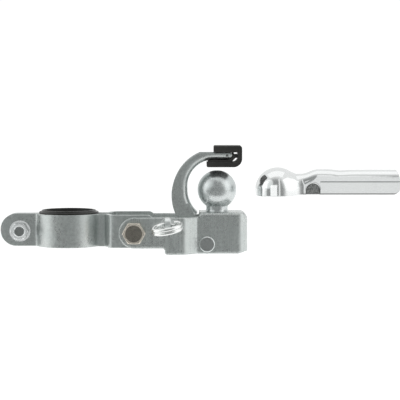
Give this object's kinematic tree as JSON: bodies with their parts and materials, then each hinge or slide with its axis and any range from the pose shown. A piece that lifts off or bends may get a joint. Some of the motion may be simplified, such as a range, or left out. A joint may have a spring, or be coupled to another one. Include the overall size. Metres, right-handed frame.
{
  "type": "bicycle trailer tow-ball hitch",
  "caption": "Seat-post clamp hitch for a bicycle trailer: lined clamp, tilting stamped yoke with tow ball, sprung safety hook, strap ring and matching ball coupler.",
  "frame": {"origin": "axis of the seat-post bore, at half the height of the clamp straps", "axes": "+Z along the seat-post bore, upwards; +X from the bore towards the tow ball and the coupler; the tilt bolt's head and the strap ring are on the -Y side"},
  "size_m": [0.2567, 0.0775, 0.0691],
  "materials": {
    "satin_zinc": "satin zinc plate",
    "bright_zinc": "bright zinc plate",
    "chrome": "polished",
    "bolt_steel": "yellowed zinc plate",
    "black_plastic": "satin",
    "black_liner": "satin",
    "nylon": "satin",
    "spring_steel": "oiled"
  },
  "bodies": {
    "clamp": {"near_strap": "satin_zinc", "far_strap": "satin_zinc", "post_liner": "black_liner", "ear_bolt": "bright_zinc", "ear_washer": "bright_zinc", "ear_nut": "bright_zinc", "tilt_bolt": "bolt_steel", "tilt_washer": "bright_zinc", "tilt_nut": "bright_zinc", "tilt_nut_insert": "nylon", "spacer_tube": "satin_zinc"},
    "yoke": {"yoke": "satin_zinc", "tow_ball": "bright_zinc", "ball_washer": "bright_zinc", "ball_nut": "bright_zinc", "pivot_pin": "bright_zinc", "torsion_spring": "spring_steel", "ring_stud": "bright_zinc"},
    "hook": {"hook": "satin_zinc", "hook_pad": "black_plastic", "pad_pin": "spring_steel"},
    "strap_ring": {"strap_ring": "chrome"},
    "coupler": {"coupler_shell": "chrome"}
  },
  "joints": [
    {"name": "yoke_tilt", "type": "hinge", "parent": "clamp", "child": "yoke", "pos_m": [0.0429, 0, -0.0008], "axis": [0, -1, 0], "range_deg": [-8, 25]},
    {"name": "hook_swing", "type": "hinge", "parent": "yoke", "child": "hook", "pos_m": [0.0891, 0, -0.0086], "axis": [0, -1, 0], "range_deg": [0, 40], "stiffness_Nm_per_rad": 0.2, "springref_deg": -28.65, "deforming": ["torsion_spring"]},
    {"name": "ring_swing", "type": "hinge", "parent": "yoke", "child": "strap_ring", "pos_m": [0.0644, -0.0262, 0.0048], "axis": [1, 0, 0], "range_deg": [-50, 72]},
    {"name": "coupler_slide", "type": "slide", "parent": "clamp", "child": "coupler", "axis": [1, 0, 0], "range_m": [0, 0.06]}
  ]
}
